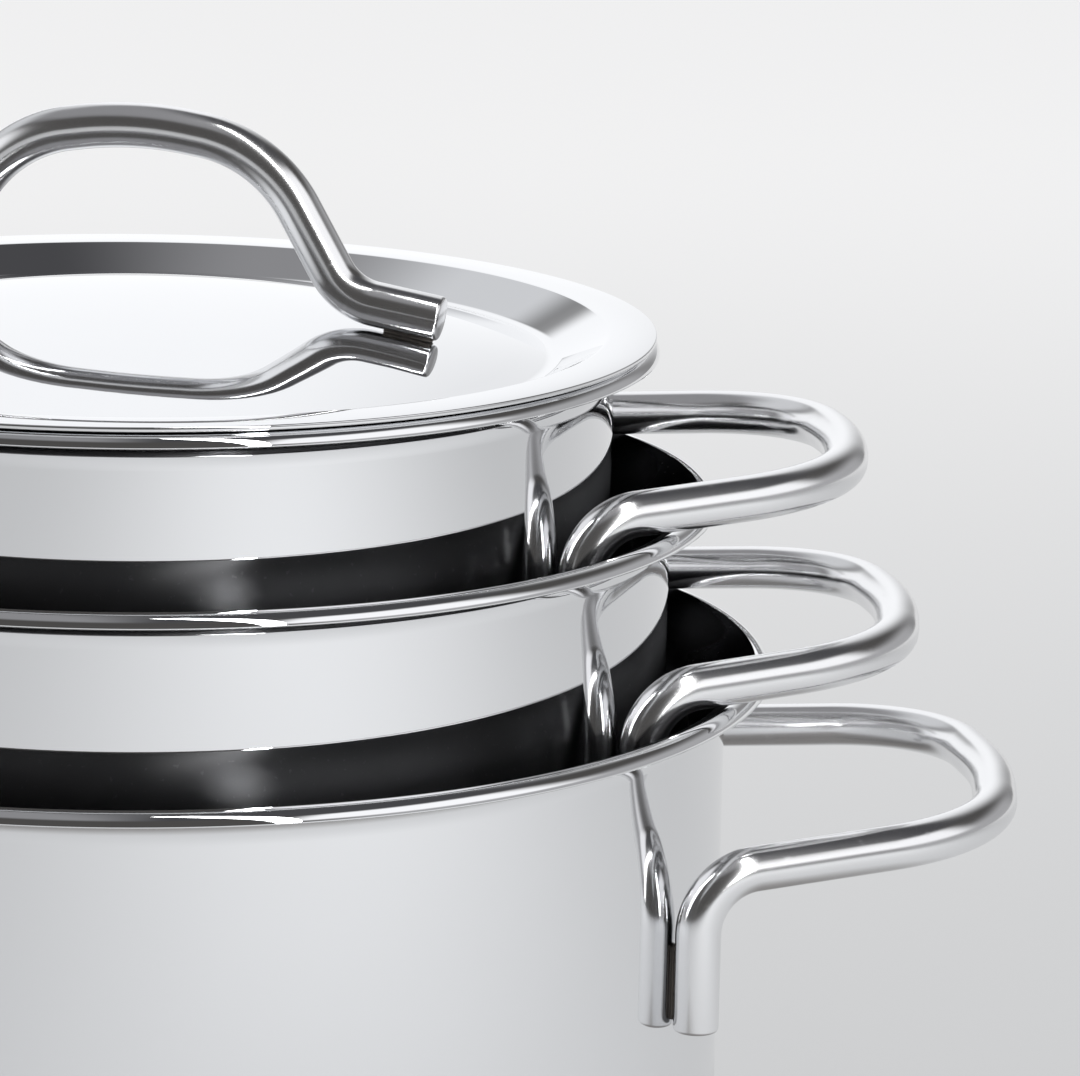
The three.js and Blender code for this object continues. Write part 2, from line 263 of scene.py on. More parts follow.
class Value:
    """What changes over a surface: a node's output, with arithmetic that adds Math nodes."""

    def __init__(self, nodes, socket):
        self.nodes = nodes
        self.socket = socket

    def math(self, operation, first, second):
        return self.nodes.add("ShaderNodeMath", {"operation": operation}, {0: first, 1: second})

    def __add__(self, other):
        return self.math("ADD", self, other)

    def __radd__(self, other):
        return self.math("ADD", other, self)

    def __sub__(self, other):
        return self.math("SUBTRACT", self, other)

    def __rsub__(self, other):
        return self.math("SUBTRACT", other, self)

    def __mul__(self, other):
        return self.math("MULTIPLY", self, other)

    def __rmul__(self, other):
        return self.math("MULTIPLY", other, self)

    def __pow__(self, other):
        return self.math("POWER", self, other)


class Nodes:
    """The nodes of one material or of the world."""

    def __init__(self, owner):
        owner.use_nodes = True
        self.tree = owner.node_tree
        self.tree.nodes.clear()

    def add(self, kind, settings=None, sockets=None, output=0):
        """Adds a node, sets it up, fills or links its sockets and returns one of its outputs."""
        node = self.tree.nodes.new(kind)
        for name, setting in (settings or {}).items():
            setattr(node, name, setting)
        for name, given in (sockets or {}).items():
            if isinstance(given, Value):
                self.tree.links.new(given.socket, node.inputs[name])
            else:
                node.inputs[name].default_value = given
        return Value(self, node.outputs[output]) if node.outputs else None

    def split(self, vector):
        """The X, Y and Z of a vector."""
        node = self.add("ShaderNodeSeparateXYZ", sockets={0: vector}).socket.node
        return [Value(self, socket) for socket in node.outputs]

    def step(self, value, low, high):
        """A smooth step from 0 at low to 1 at high."""
        settings = {"interpolation_type": "SMOOTHSTEP"}
        return self.add("ShaderNodeMapRange", settings, {"Value": value, "From Min": low, "From Max": high})

    def between(self, value, rise, fall):
        """1 from the end of the rise to the start of the fall, and 0 outside them."""
        return self.step(value, *rise) * (1 - self.step(value, *fall))

    def mix(self, factor, first, second):
        """A colour between two colours."""
        sockets = {"Factor": factor, 6: first, 7: second}
        return self.add("ShaderNodeMix", {"data_type": "RGBA"}, sockets, output=2)

    def noise(self, vector, scale, detail=2.0):
        """Soft random changes from 0 to 1."""
        sockets = {"Vector": vector, "Scale": scale, "Detail": detail}
        return self.add("ShaderNodeTexNoise", None, sockets)


def rgba(rgb, factor=1.0):
    """A colour for a socket, made darker or lighter by a factor."""
    return (*(channel * factor for channel in rgb), 1.0)


def ring_lines(nodes, place, spacing):
    """Fine lines round the axis, as a spinning polishing wheel or lathe leaves them."""
    x, y, z = nodes.split(place)
    radius = (x * x + y * y) ** 0.5
    along = nodes.add("ShaderNodeCombineXYZ", sockets={0: radius, 1: z})
    return nodes.noise(along, scale=1 / spacing, detail=3.0)


def metal(name, rgb, roughness, wear, lines, line_spacing, line_depth, wave_depth):
    """A metal whose colour and gloss drift slowly, with lines round the axis and a faintly wavy surface."""
    material = bpy.data.materials.new(name)
    nodes = Nodes(material)
    place = nodes.add("ShaderNodeTexCoord", output="Object")
    drift = nodes.noise(place, scale=22.0, detail=3.0)
    specks = nodes.step(nodes.noise(place, scale=420.0, detail=4.0), low=0.6, high=0.8)
    fine = ring_lines(nodes, place, line_spacing)
    waves = nodes.noise(place, scale=16.0, detail=1.0)
    drift_dulls, specks_dull = roughness * 0.5, roughness * 0.6
    wavy = nodes.add("ShaderNodeBump", None, {"Strength": 1.0, "Distance": wave_depth, "Height": waves})
    lined = nodes.add("ShaderNodeBump", None, {
        "Strength": 1.0, "Distance": line_depth, "Height": fine, "Normal": wavy,
    })
    shader = nodes.add("ShaderNodeBsdfPrincipled", None, {
        "Base Color": nodes.mix(drift, rgba(rgb, 1 - wear), rgba(rgb, 1 + wear)),
        "Metallic": 1.0,
        "Roughness": roughness + drift * drift_dulls + fine * lines + specks * specks_dull,
        "Normal": lined,
    })
    nodes.add("ShaderNodeOutputMaterial", None, {"Surface": shader})
    return material


def polished_steel():
    """Mirror-bright sheet."""
    look = bpy.context.scene.soup_pots.finish
    return bpy.data.materials.get("mirror_sheet") or metal(
        "mirror_sheet", look.polished, look.polished_roughness, wear=0.02, lines=0.01,
        line_spacing=0.0004, line_depth=0.0000002, wave_depth=0.00004,
    )


def rod_steel():
    """Bright drawn rod."""
    look = bpy.context.scene.soup_pots.finish
    return bpy.data.materials.get("bright_rod") or metal(
        "bright_rod", look.rod, look.rod_roughness, wear=0.04, lines=0.015,
        line_spacing=0.0006, line_depth=0.0000003, wave_depth=0.00003,
    )


def weld_seam():
    """Weld that the heat has left dull and brownish."""
    look = bpy.context.scene.soup_pots.finish
    return bpy.data.materials.get("weld_seam") or metal(
        "weld_seam", look.weld, look.weld_roughness, wear=0.3, lines=0.1,
        line_spacing=0.0009, line_depth=0.00002, wave_depth=0.00005,
    )


def shaded_dark_inside():
    """Nearly black insides of the pots, faintly grained, with a soft gloss: the dark colour is painted
    shade of the gaps between the nested pots.
    """
    if "shaded_dark_inside" in bpy.data.materials:
        return bpy.data.materials["shaded_dark_inside"]
    look = bpy.context.scene.soup_pots.finish
    material = bpy.data.materials.new("shaded_dark_inside")
    nodes = Nodes(material)
    place = nodes.add("ShaderNodeTexCoord", output="Object")
    drift = nodes.noise(place, scale=30.0, detail=3.0)
    grain = nodes.noise(place, scale=2600.0)
    flecks = nodes.step(nodes.noise(place, scale=900.0), low=0.66, high=0.74)
    wear, fleck_share, fleck_tone = 0.3, 0.3, 2.0
    # Painted shade: the dark inside colour, drifting at random, stands for the shade of the gaps between
    # the pots
    shade = nodes.mix(drift, rgba(look.inside_shade, 1 - wear), rgba(look.inside_shade, 1 + wear))
    rough = look.inside_roughness
    drift_dulls, grain_dulls, grain_depth = rough * 0.3, rough * 0.2, 0.000004
    grained = nodes.add("ShaderNodeBump", None, {"Strength": 1.0, "Distance": grain_depth, "Height": grain})
    quarter_turn = 0.25
    shader = nodes.add("ShaderNodeBsdfPrincipled", None, {
        "Base Color": nodes.mix(flecks * fleck_share, shade, rgba(look.inside_shade, fleck_tone)),
        "Metallic": 1.0,
        "Roughness": rough + drift * drift_dulls + grain * grain_dulls,
        "Normal": grained,
        "Specular Tint": rgba((1.0, 1.0, 1.0), look.inside_glance),
        "Anisotropic": look.inside_brush,
        "Anisotropic Rotation": quarter_turn,
    })
    nodes.add("ShaderNodeOutputMaterial", None, {"Surface": shader})
    return material


def base_steel():
    """Turned underside of the bases."""
    look = bpy.context.scene.soup_pots.finish
    return bpy.data.materials.get("turned_base") or metal(
        "turned_base", look.base, look.base_roughness, wear=0.08, lines=0.15,
        line_spacing=0.0008, line_depth=0.000008, wave_depth=0.00002,
    )


def core_aluminium():
    """Rolled aluminium of the discs inside the bases."""
    look = bpy.context.scene.soup_pots.finish
    return bpy.data.materials.get("rolled_core") or metal(
        "rolled_core", look.core, look.core_roughness, wear=0.05, lines=0.08,
        line_spacing=0.001, line_depth=0.000004, wave_depth=0.00002,
    )


def arc(centre, radius, start, end, steps):
    """Points on a round stretch of an outline, from one angle to another, both ends included."""
    turns = [start + (end - start) * step / steps for step in range(steps + 1)]
    return [Vector(centre) + radius * Vector((math.cos(turn), math.sin(turn))) for turn in turns]


def rounded(before, corner, after, radius, steps):
    """Points on the arc that rounds an outline's corner."""
    back = (before - corner).normalized()
    ahead = (after - corner).normalized()
    half = back.angle(ahead) / 2
    centre = corner + (back + ahead).normalized() * (radius / math.sin(half))
    first = corner + back * (radius / math.tan(half)) - centre
    sweep = math.pi - 2 * half
    sense = 1 if back.cross(ahead) < 0 else -1
    start = math.atan2(first.y, first.x)
    return arc(centre, radius, start, start + sense * sweep, steps)


def shape_alone():
    """Leaves nothing selected, so that only what is added next is shaped."""
    bpy.ops.object.select_all(action="DESELECT")


def settle():
    """Moves the active piece's place, turn and scale into its mesh."""
    bpy.ops.object.transform_apply(location=True, rotation=True, scale=True)


def turn_sheet(name, outline, segments):
    """A sheet round Z: a disc at the outline's first point, its edge pulled out through the others."""
    shape_alone()
    first = outline[0]
    bpy.ops.mesh.primitive_circle_add(
        vertices=segments, radius=first.x, fill_type="TRIFAN", location=(0, 0, first.y),
    )
    settle()
    piece = bpy.context.object
    piece.name = name
    bpy.ops.object.mode_set(mode="EDIT")
    bpy.ops.mesh.select_all(action="SELECT")
    bpy.ops.mesh.region_to_loop()
    for here, there in zip(outline, outline[1:]):
        bpy.ops.mesh.extrude_edges_move(TRANSFORM_OT_translate={"value": (0, 0, there.y - here.y)})
        grow = there.x / here.x
        bpy.ops.transform.resize(value=(grow, grow, 1), center_override=(0, 0, there.y))
    bpy.ops.mesh.select_all(action="SELECT")
    bpy.ops.mesh.normals_make_consistent(inside=False)
    bpy.ops.object.mode_set(mode="OBJECT")
    return piece


def thicken(piece, thickness, upwards):
    """Gives a sheet its thickness, above or below the side that was drawn."""
    faces_up = piece.data.polygons[0].normal.z > 0
    wall = piece.modifiers.new("sheet", "SOLIDIFY")
    wall.thickness = thickness
    wall.offset = 1 if faces_up == upwards else -1
    wall.use_even_offset = True
    bpy.ops.object.modifier_apply(modifier=wall.name)


def round_edges(width, steps):
    """Rounds the active piece's sharp edges and smooths the rest."""
    bpy.ops.object.mode_set(mode="EDIT")
    bpy.ops.mesh.select_mode(type="EDGE")
    bpy.ops.mesh.select_all(action="DESELECT")
    bpy.ops.mesh.edges_select_sharp(sharpness=SHARP)
    bpy.ops.mesh.bevel(offset=width, segments=steps, profile=0.5, clamp_overlap=True)
    bpy.ops.object.mode_set(mode="OBJECT")
    bpy.ops.object.shade_smooth()


def draw_rod(name, corners, bends, sizes):
    """A rod drawn out of its end face: straight runs are extruded and each corner is spun to its radius."""
    heading = (corners[1] - corners[0]).normalized()
    shape_alone()
    bpy.ops.mesh.primitive_circle_add(
        vertices=sizes.sides, radius=sizes.diameter / 2, fill_type="NGON",
        location=corners[0], rotation=heading.to_track_quat("Z", "Y").to_euler(),
    )
    settle()
    piece = bpy.context.object
    piece.name = name
    bpy.ops.object.mode_set(mode="EDIT")
    bpy.ops.mesh.select_all(action="SELECT")
    here = corners[0]
    for before, corner, after, radius in zip(corners, corners[1:], corners[2:], bends):
        back = (before - corner).normalized()
        ahead = (after - corner).normalized()
        half = back.angle(ahead) / 2
        run = radius / math.tan(half)
        centre = corner + (back + ahead).normalized() * (radius / math.sin(half))
        start = corner + back * run
        bpy.ops.mesh.extrude_region_move(TRANSFORM_OT_translate={"value": start - here})
        bpy.ops.mesh.spin(
            steps=sizes.bend_steps, angle=math.pi - 2 * half,
            center=centre, axis=back.cross(ahead).normalized(),
        )
        here = corner + ahead * run
    bpy.ops.mesh.extrude_region_move(TRANSFORM_OT_translate={"value": corners[-1] - here})
    bpy.ops.mesh.select_all(action="SELECT")
    bpy.ops.mesh.remove_doubles(threshold=MERGE_DISTANCE)
    bpy.ops.mesh.normals_make_consistent(inside=False)
    bpy.ops.object.mode_set(mode="OBJECT")
    round_edges(sizes.end_round, ROD_END_STEPS)
    return piece


def draw_weld(name, start, end, across, sizes):
    """A weld seam: a flat bar from start to end whose ends taper, thin along across."""
    along = end - start
    deep = (across - along * (across.dot(along) / along.length_squared)).normalized()
    lie = Matrix((deep, along.cross(deep).normalized(), along.normalized())).transposed()
    width = sizes.weld_width
    shape_alone()
    bpy.ops.mesh.primitive_cylinder_add(
        vertices=SEAM_SIDES, radius=width / 2, depth=along.length, end_fill_type="NGON",
        location=(start + end) / 2, rotation=lie.to_euler(), scale=(sizes.weld_depth / width, 1, 1),
    )
    settle()
    piece = bpy.context.object
    piece.name = name
    bpy.ops.object.mode_set(mode="EDIT")
    bpy.ops.mesh.select_mode(type="FACE")
    bpy.ops.mesh.select_all(action="DESELECT")
    bpy.ops.object.mode_set(mode="OBJECT")
    for face in piece.data.polygons:
        face.select = abs(face.normal.dot(along.normalized())) > FACING
    bpy.ops.object.mode_set(mode="EDIT")
    bpy.ops.mesh.inset(thickness=sizes.weld_depth / 4, depth=sizes.weld_depth / 2, use_individual=True)
    bpy.ops.object.mode_set(mode="OBJECT")
    bpy.ops.object.shade_smooth()
    return piece


def join(name, pieces):
    """Makes several pieces one."""
    shape_alone()
    for piece in pieces:
        piece.select_set(True)
    bpy.context.view_layer.objects.active = pieces[0]
    bpy.ops.object.join()
    pieces[0].name = name
    return pieces[0]


def turned_copy(name, piece):
    """A copy of a piece on the other side of the axis."""
    shape_alone()
    piece.select_set(True)
    bpy.context.view_layer.objects.active = piece
    bpy.ops.object.duplicate(linked=False)
    bpy.ops.transform.rotate(value=math.pi, orient_axis="Z", center_override=(0, 0, 0))
    settle()
    bpy.context.object.name = name
    return bpy.context.object


def dress(piece, body, slot, material, *nodes):
    """Gives a finished piece its metal and the body that carries it, and hides the CAD nodes that it stands
    for.
    """
    piece.data.materials.clear()
    piece.data.materials.append(material)
    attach(piece, body)
    if nodes:
        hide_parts(*nodes)


def lip_places(sizes):
    """Out and down to the middle of the lip's curl, down to where its flare starts, and the lip's reach."""
    swing = sizes.flare_radius - sizes.curl_radius
    out = sizes.flare_radius - swing * math.cos(sizes.flare_angle)
    down = sizes.sheet + sizes.curl_radius
    flare_down = down + swing * math.sin(sizes.flare_angle)
    return out, down, flare_down, out + sizes.curl_radius + sizes.sheet


def pot_places(pot, sizes):
    """Wall radius, floor height and rim height of a pot, from its CAD shell."""
    low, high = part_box(f"{pot}_shell")
    return high.x - lip_places(sizes)[3], low.z, high.z


def disc_rings(radius, height):
    """Rings of a flat disc, from near its middle outwards."""
    return [Vector((radius * part, height)) for part in DISC_RINGS]


def pot_outline(pot, sizes):
    """The outside of a pot's sheet from its floor up the wall and round the lip."""
    radius, floor, rim = pot_places(pot, sizes)
    out, down, flare_down, _ = lip_places(sizes)
    flat = radius - sizes.floor_corner
    turn = math.pi - sizes.flare_angle
    steps = sizes.arc_steps
    corner = arc((flat, floor + sizes.floor_corner), sizes.floor_corner, -math.pi / 2, 0, steps)
    flare = arc((radius + sizes.flare_radius, rim - flare_down), sizes.flare_radius, math.pi, turn, steps)
    curl = arc((radius + out, rim - down), sizes.curl_radius, turn, 0, steps)
    return [*disc_rings(flat, floor), *corner, *flare, *curl[1:]]


def shade_inside(piece, pot, sizes):
    """Gives the inside of a pot the dark material of painted gap shade, from its floor up the wall and
    round the lip's flare.
    """
    floor = pot_places(pot, sizes)[1]
    piece.data.materials.append(shaded_dark_inside())
    level = math.cos(sizes.inside_shade_turn)
    for face in piece.data.polygons:
        away = math.hypot(face.center.x, face.center.y)
        outwards = (face.normal.x * face.center.x + face.normal.y * face.center.y) / away
        on_wall = outwards < -level and face.normal.z > UNDERSIDE
        on_floor = face.normal.z > FACING and face.center.z < floor + sizes.floor_corner
        if on_wall or on_floor:
            face.material_index = 1


class SOUPPOT_OT_shells(bpy.types.Operator):
    """Press the shells of the pots, with their flared pouring lips"""

    bl_idname = "souppot.shells"
    bl_label = "Pot Shells"

    def execute(self, context):
        sizes = context.scene.soup_pots.sheet
        for pot in POTS:
            shell = turn_sheet(f"{pot}_pressed_shell", pot_outline(pot, sizes), sizes.segments)
            thicken(shell, sizes.sheet, upwards=True)
            round_edges(sizes.edge_round, EDGE_STEPS)
            dress(shell, pot, "polished_steel", polished_steel(), f"{pot}_shell")
            shade_inside(shell, pot, sizes)
        return {"FINISHED"}


class SOUPPOT_OT_bases(bpy.types.Operator):
    """Turn the base pans under the pots and finish the discs inside them"""

    bl_idname = "souppot.bases"
    bl_label = "Base Pans"

    def execute(self, context):
        sizes = context.scene.soup_pots.sheet
        for pot in POTS:
            low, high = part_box(f"{pot}_base_cap")
            flat = high.x - sizes.pan_edge
            edge = arc((flat, low.z + sizes.pan_edge), sizes.pan_edge, -math.pi / 2, 0, sizes.arc_steps)
            outline = [*disc_rings(flat, low.z), *edge, Vector((high.x, high.z))]
            pan = turn_sheet(f"{pot}_base_pan", outline, sizes.segments)
            thicken(pan, sizes.pan_sheet, upwards=True)
            round_edges(sizes.edge_round, EDGE_STEPS)
            dress(pan, pot, "base_steel", base_steel(), f"{pot}_base_cap")
            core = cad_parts[f"{pot}_base_core"]
            core.data.materials.clear()
            core.data.materials.append(core_aluminium())
        return {"FINISHED"}


def side_handle_corners(pot, sizes, sheet):
    """Corners of a right handle's centre line, from the end of its front leg to the end of its back leg."""
    low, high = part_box(f"{pot}_right_handle")
    radius = pot_places(pot, sheet)[0]
    half_rod = sizes.diameter / 2
    spread = high.y - half_rod
    leg_circle = radius + sizes.weld_gap + half_rod
    leg_x = math.sqrt(leg_circle ** 2 - spread ** 2)
    corner_y = spread - sizes.taper
    end_lean = math.atan2(sizes.loop_bulge, corner_y)
    tip_x = high.x - half_rod + sizes.loop_end * (1 / math.cos(end_lean) - 1)
    corner_x = tip_x - sizes.loop_bulge
    shoulder = low.z + sizes.leg
    slope = math.tan(sizes.rise)
    front = [
        Vector((leg_x, -spread, low.z)),
        Vector((leg_x, -spread, shoulder)),
        Vector((corner_x, -corner_y, shoulder + (corner_x - leg_x) * slope)),
    ]
    tip = Vector((tip_x, 0, shoulder + (tip_x - leg_x) * slope))
    back = [Vector((corner.x, -corner.y, corner.z)) for corner in reversed(front)]
    return [*front, tip, *back]


class SOUPPOT_OT_side_handles(bpy.types.Operator):
    """Bend the side handles of the pots from rod and weld them to the walls"""

    bl_idname = "souppot.side_handles"
    bl_label = "Side Handles"

    def execute(self, context):
        settings = context.scene.soup_pots
        sizes = settings.rod
        bends = (sizes.leg_bend, sizes.loop_corner, sizes.loop_end, sizes.loop_corner, sizes.leg_bend)
        for pot in POTS:
            corners = side_handle_corners(pot, sizes, settings.sheet)
            rod = draw_rod(f"{pot}_right_rod", corners, bends, sizes)
            welds = self.weld(f"{pot}_right_welds", corners, sizes)
            dress(rod, pot, "rod_steel", rod_steel(), f"{pot}_right_handle")
            dress(welds, pot, "rod_steel", weld_seam())
            dress(turned_copy(f"{pot}_left_rod", rod), pot, "rod_steel", rod_steel(), f"{pot}_left_handle")
            dress(turned_copy(f"{pot}_left_welds", welds), pot, "rod_steel", weld_seam())
        return {"FINISHED"}

    def weld(self, name, corners, sizes):
        """Seams between the two legs and the wall."""
        seams = []
        inset = sizes.diameter / 4
        for end, top in ((corners[0], corners[1]), (corners[-1], corners[-2])):
            inward = -Vector((end.x, end.y, 0)).normalized() * (sizes.diameter + sizes.weld_gap) / 2
            start = end + inward + UP * inset
            stop = top + inward - UP * (sizes.leg_bend + inset)
            seams.append(draw_weld(f"{name}_seam", start, stop, inward, sizes))
        return join(name, seams)


def lid_places(lid, sheet):
    """Flange radius and height, recess edge, dome edge and dome radius of the lid, from its CAD shell."""
    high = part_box("lid_shell")[1]
    flange = high.z - lid.dome_rise + lid.recess_depth
    recess = pot_places("small_pot", sheet)[0] - sheet.sheet - lid.play
    dome_edge = recess - lid.slope_width
    dome_radius = (dome_edge ** 2 + lid.dome_rise ** 2) / (2 * lid.dome_rise)
    return high.x, flange, recess, dome_edge, dome_radius


def lid_outline(lid, sheet):
    """The upper side of the lid's sheet from near the middle of the dome to the edge of the flange."""
    edge, flange, recess, dome_edge, dome_radius = lid_places(lid, sheet)
    top = flange + lid.dome_rise - lid.recess_depth
    steps = sheet.arc_steps
    dome_turn = math.asin(dome_edge / dome_radius)
    first_turn = dome_turn / steps / 4
    upright = math.pi / 2
    dome = arc((0, top - dome_radius), dome_radius, upright - first_turn, upright - dome_turn, steps)
    valley = Vector((dome_edge, flange - lid.recess_depth))
    brow = Vector((recess, flange))
    border = Vector((edge, flange))
    valley_round = rounded(dome[-2], valley, brow, lid.valley_radius, steps)
    dome_end = valley_round[0].x - lid.valley_radius / 10
    dome_part = [point for point in dome if point.x < dome_end]
    return [*dome_part, *valley_round, *rounded(valley, brow, border, lid.edge_radius, steps), border]


class SOUPPOT_OT_lid(bpy.types.Operator):
    """Press the lid, with its flange, sunk ring and dome"""

    bl_idname = "souppot.lid"
    bl_label = "Lid"

    def execute(self, context):
        settings = context.scene.soup_pots
        sheet = settings.sheet
        dish = turn_sheet("lid_pressed_dish", lid_outline(settings.lid, sheet), sheet.segments)
        thicken(dish, sheet.sheet, upwards=False)
        round_edges(sheet.edge_round, EDGE_STEPS)
        dress(dish, "lid", "polished_steel", polished_steel(), "lid_shell")
        return {"FINISHED"}


def lid_handle_corners(lid, rod, sheet):
    """Corners of the arch handle's centre line, its feet lying along the dome."""
    _, flange, _, _, dome_radius = lid_places(lid, sheet)
    lift = dome_radius + rod.weld_gap + rod.diameter / 2
    dome_middle = flange + lid.dome_rise - lid.recess_depth - dome_radius
    lean = math.asin((lid.handle_span - lid.handle_foot) / 2 / lift)
    foot = Vector((lift * math.sin(lean), 0, dome_middle + lift * math.cos(lean)))
    half_foot = Vector((math.cos(lean), 0, -math.sin(lean))) * (lid.handle_foot / 2)
    right = [
        foot + half_foot,
        foot - half_foot,
        Vector((lid.shoulder, 0, flange + lid.shoulder_height)),
    ]
    crown = Vector((0, 0, flange + lid.crown_height))
    left = [Vector((-corner.x, 0, corner.z)) for corner in reversed(right)]
    turn = Matrix.Rotation(lid.handle_turn, 3, "Z")
    return [turn @ corner for corner in (*right, crown, *left)]


class SOUPPOT_OT_lid_handle(bpy.types.Operator):
    """Bend the lid's arch handle from rod and weld its feet to the dome"""

    bl_idname = "souppot.lid_handle"
    bl_label = "Lid Handle"

    def execute(self, context):
        settings = context.scene.soup_pots
        lid, rod = settings.lid, settings.rod
        corners = lid_handle_corners(lid, rod, settings.sheet)
        bends = (lid.foot_bend, lid.shoulder_bend, lid.crown_bend, lid.shoulder_bend, lid.foot_bend)
        arch = draw_rod("lid_arch_rod", corners, bends, rod)
        dress(arch, "lid", "rod_steel", rod_steel(), "lid_handle")
        self.weld(corners, rod)
        return {"FINISHED"}

    def weld(self, corners, rod):
        """Seams between the two feet and the dome."""
        seams = []
        for end, bend in ((corners[0], corners[1]), (corners[-1], corners[-2])):
            along = (bend - end).normalized()
            down = -UP * (rod.diameter + rod.weld_gap) / 2
            start = end + down + along * rod.diameter / 4
            seams.append(draw_weld("lid_weld_seam", start, start + along * rod.diameter, down, rod))
        dress(join("lid_arch_welds", seams), "lid", "rod_steel", weld_seam())


def light_path(nodes):
    """Whether a ray comes from the camera, from a mirror or from glass, and whether from a dull surface."""
    paths = nodes.add("ShaderNodeLightPath").socket.node.outputs
    shown = Value(nodes, paths["Is Camera Ray"])
    mirrored = Value(nodes, paths["Is Glossy Ray"]) + Value(nodes, paths["Is Transmission Ray"])
    return shown, mirrored, Value(nodes, paths["Is Diffuse Ray"])


def bearing(turn, rise):
    """A direction, by its turn to the right from straight behind the pots and by its rise."""
    level = math.cos(rise)
    return Vector((math.sin(turn) * level, math.cos(turn) * level, math.sin(rise)))


def floor_finish(look):
    """Pale floor with a soft shadow and painted falloff; in reflections only, a painted shadow by the pots
    and a painted pool of light.
    """
    material = bpy.data.materials.new("pale_floor")
    nodes = Nodes(material)
    place = nodes.add("ShaderNodeTexCoord", output="Object")
    x, y, _ = nodes.split(place)
    # Painted shade: darker towards the front, standing in for the falloff of the light
    plain = nodes.mix(nodes.step(y, look.near_at, look.far_at), rgba(look.shaded_near_floor), rgba(look.far_floor))
    # Painted shadow: near the pots the floor's reflections fade to the close colour, in place of their
    # contact shadow
    close = 1 - nodes.step((x * x + y * y) ** 0.5, look.painted_shadow_from, look.painted_shadow_to)
    shown, mirrored, _ = light_path(nodes)
    tone = nodes.mix(mirrored * close, plain, rgba(look.painted_shadow_floor))
    # Painted pool of light: the floor's emission is raised under the front lamp, in reflections only
    pool_x, pool_y = x - look.pool_place[0], y - look.pool_place[1]
    from_pool = (pool_x * pool_x + pool_y * pool_y) ** 0.5
    painted_pool_light = 1 + mirrored * (1 - nodes.step(from_pool, 0, look.pool_reach)) * look.pool
    bright = nodes.add("ShaderNodeVectorMath", {"operation": "SCALE"}, {0: tone, "Scale": painted_pool_light})
    dull = nodes.add("ShaderNodeBsdfDiffuse", None, {"Color": tone})
    glow = nodes.add("ShaderNodeEmission", None, {"Color": bright, "Strength": 1.0})
    floor = nodes.add("ShaderNodeMixShader", None, {
        0: shown * look.glow + mirrored * look.mirror_glow, 1: dull, 2: glow,
    })
    nodes.add("ShaderNodeOutputMaterial", None, {"Surface": floor})
    return material


def studio_world(look):
    """Pale behind the pots and dim elsewhere to mirrors, plain to the camera, even to dull surfaces."""
    world = bpy.data.worlds.new("studio")
    bpy.context.scene.world = world
    nodes = Nodes(world)
    right, behind, height = nodes.split(nodes.add("ShaderNodeTexCoord", output="Generated"))
    left = 0 - right
    beside = nodes.step(right, *BESIDE_RIGHT) * (1 - nodes.step(height, *BESIDE_HEIGHT))
    room = nodes.mix(beside, rgba(look.back_room), rgba(look.right_room))
    screen = nodes.step(right, *SCREEN_RIGHT) * (1 - nodes.step(behind, *SCREEN_BEHIND))
    screen = screen * nodes.between(height, SCREEN_FOOT, SCREEN_TOP)
    room = nodes.mix(screen, room, rgba(look.side_screen))
    room = nodes.mix(nodes.step(left, *BACKDROP_LEFT), room, rgba(look.backdrop))
    in_corner = nodes.step(left, *CORNER_LEFT)
    corner = in_corner * nodes.step(height, *CORNER_HEIGHT)
    cloth = nodes.mix(corner, rgba(look.backdrop), rgba(look.backdrop_corner))
    edge = in_corner * nodes.between(height, CORNER_EDGE_FOOT, CORNER_EDGE_TOP)
    cloth = nodes.mix(edge * look.backdrop_edge, cloth, rgba(look.back_room))
    on_cloth = nodes.step(behind, *BACKDROP_BEHIND) * (1 - nodes.step(right, *BACKDROP_RIGHT))
    walls = nodes.mix(on_cloth, room, cloth)
    roof = nodes.mix(nodes.step(left, *ROOF_LEFT), rgba(look.ceiling), rgba(look.ceiling_left))
    in_mirrors = nodes.mix(nodes.step(height, *ROOF_HEIGHT), walls, roof)
    shown, _, dull = light_path(nodes)
    in_view = nodes.mix(shown, in_mirrors, rgba(look.far_floor))
    light = nodes.mix(dull, in_view, rgba(look.fill))
    background = nodes.add("ShaderNodeBackground", None, {"Color": light, "Strength": 1.0})
    nodes.add("ShaderNodeOutputWorld", None, {"Surface": background})


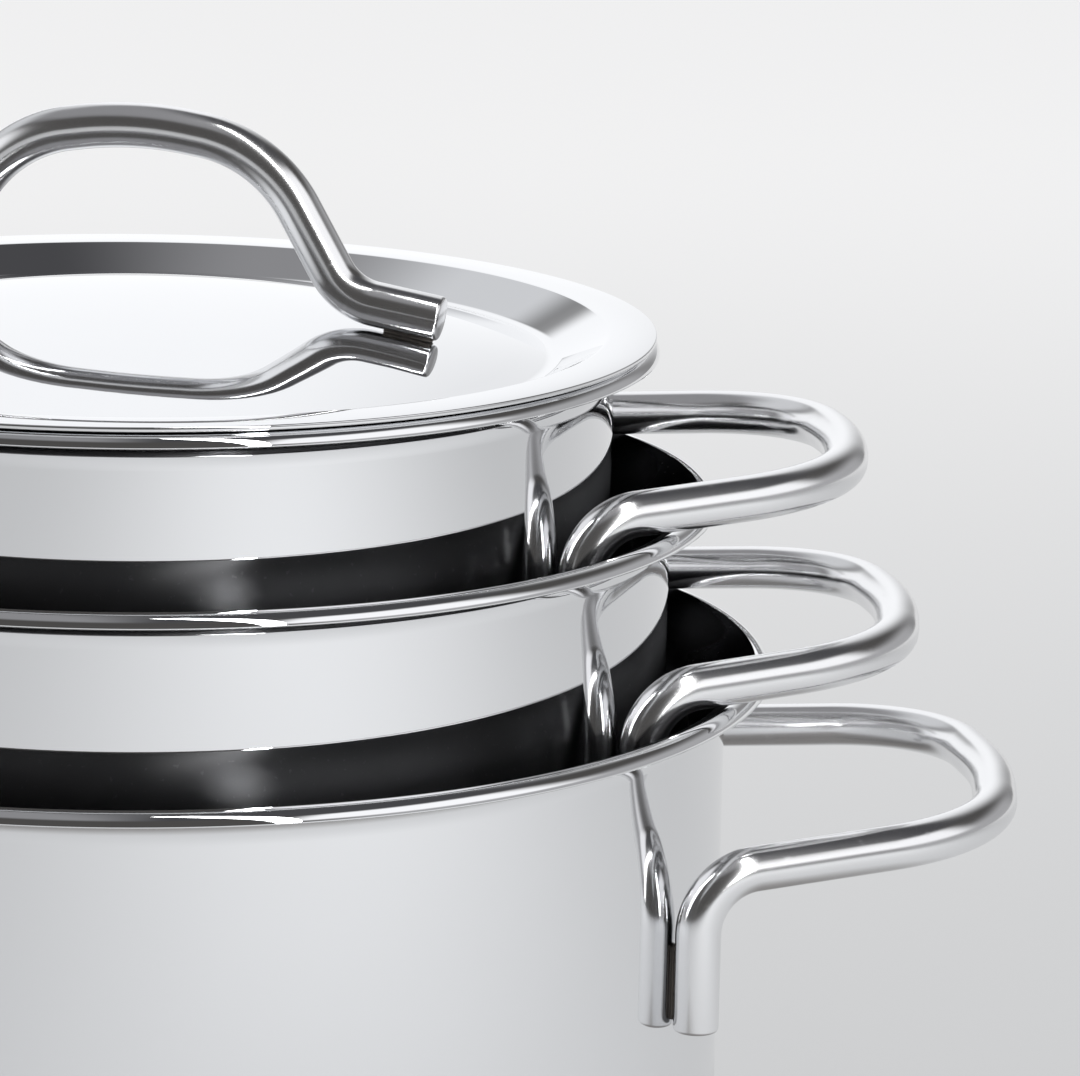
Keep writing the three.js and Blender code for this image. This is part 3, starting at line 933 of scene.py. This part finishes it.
class SOUPPOT_OT_stage(bpy.types.Operator):
    """Lay the floor, set the studio light and place the camera"""

    bl_idname = "souppot.stage"
    bl_label = "Stage"

    def execute(self, context):
        look = context.scene.soup_pots.stage
        context.scene.view_settings.view_transform = "Standard"
        self.floor(look)
        studio_world(look)
        self.softbox(look)
        self.camera(context, look)
        return {"FINISHED"}

    def floor(self, look):
        """A wide round floor."""
        shape_alone()
        bpy.ops.mesh.primitive_circle_add(vertices=FLOOR_SIDES, radius=look.floor_radius, fill_type="NGON")
        floor = bpy.context.object
        floor.name = "floor"
        floor.data.materials.append(floor_finish(look))

    def softbox(self, look):
        """The strip lamp at the right front."""
        middle = (CAD_BOX[0] + CAD_BOX[1]) / 2
        towards = bearing(math.pi - look.softbox_turn, look.softbox_rise) * look.softbox_distance
        shape_alone()
        bpy.ops.object.light_add(
            type="AREA", location=middle + towards, rotation=towards.to_track_quat("Z", "Y").to_euler(),
        )
        lamp = bpy.context.object
        lamp.name = "softbox"
        lamp.data.shape = "RECTANGLE"
        lamp.data.size = look.softbox_width
        lamp.data.size_y = look.softbox_height
        lamp.data.energy = look.softbox_light * math.pi * look.softbox_width * look.softbox_height

    def camera(self, context, look):
        """The photograph's view."""
        ahead = bearing(look.camera_yaw, -look.camera_pitch)
        right = ahead.cross(UP).normalized()
        over = right.cross(ahead)
        cosine, sine = math.cos(look.camera_roll), math.sin(look.camera_roll)
        across = right * cosine + over * sine
        upright = over * cosine - right * sine
        shape_alone()
        bpy.ops.object.camera_add()
        camera = context.object
        camera.name = "camera"
        camera.data.lens = look.lens
        turn = Matrix((across, upright, -ahead)).transposed().to_4x4()
        camera.matrix_world = Matrix.Translation((0, -look.camera_distance, look.camera_height)) @ turn
        context.scene.camera = camera


class SOUPPOT_PT_panel(bpy.types.Panel):
    """Steps and sizes of the nest"""

    bl_idname = "SOUPPOT_PT_panel"
    bl_label = "Soup Pots"
    bl_space_type = "VIEW_3D"
    bl_region_type = "UI"
    bl_category = "Soup Pots"

    def draw(self, context):
        settings = context.scene.soup_pots
        for operator in OPERATORS:
            self.layout.operator(operator.bl_idname)
        for group in (settings.sheet, settings.rod, settings.lid, settings.finish, settings.stage):
            box = self.layout.box()
            for name in group.__annotations__:
                box.prop(group, name)


OPERATORS = (
    SOUPPOT_OT_shells,
    SOUPPOT_OT_bases,
    SOUPPOT_OT_side_handles,
    SOUPPOT_OT_lid,
    SOUPPOT_OT_lid_handle,
    SOUPPOT_OT_stage,
)
GROUPS = (SheetSizes, RodSizes, LidSizes, Finishes, StageLook, NestSettings)
CLASSES = (*GROUPS, *OPERATORS, SOUPPOT_PT_panel)


def register():
    for each in CLASSES:
        bpy.utils.register_class(each)
    bpy.types.Scene.soup_pots = PointerProperty(type=NestSettings)


def unregister():
    del bpy.types.Scene.soup_pots
    for each in reversed(CLASSES):
        bpy.utils.unregister_class(each)


def main():
    register()
    bpy.ops.souppot.shells()
    bpy.ops.souppot.bases()
    bpy.ops.souppot.side_handles()
    bpy.ops.souppot.lid()
    bpy.ops.souppot.lid_handle()
    bpy.ops.souppot.stage()


if __name__ == "__main__":
    main()
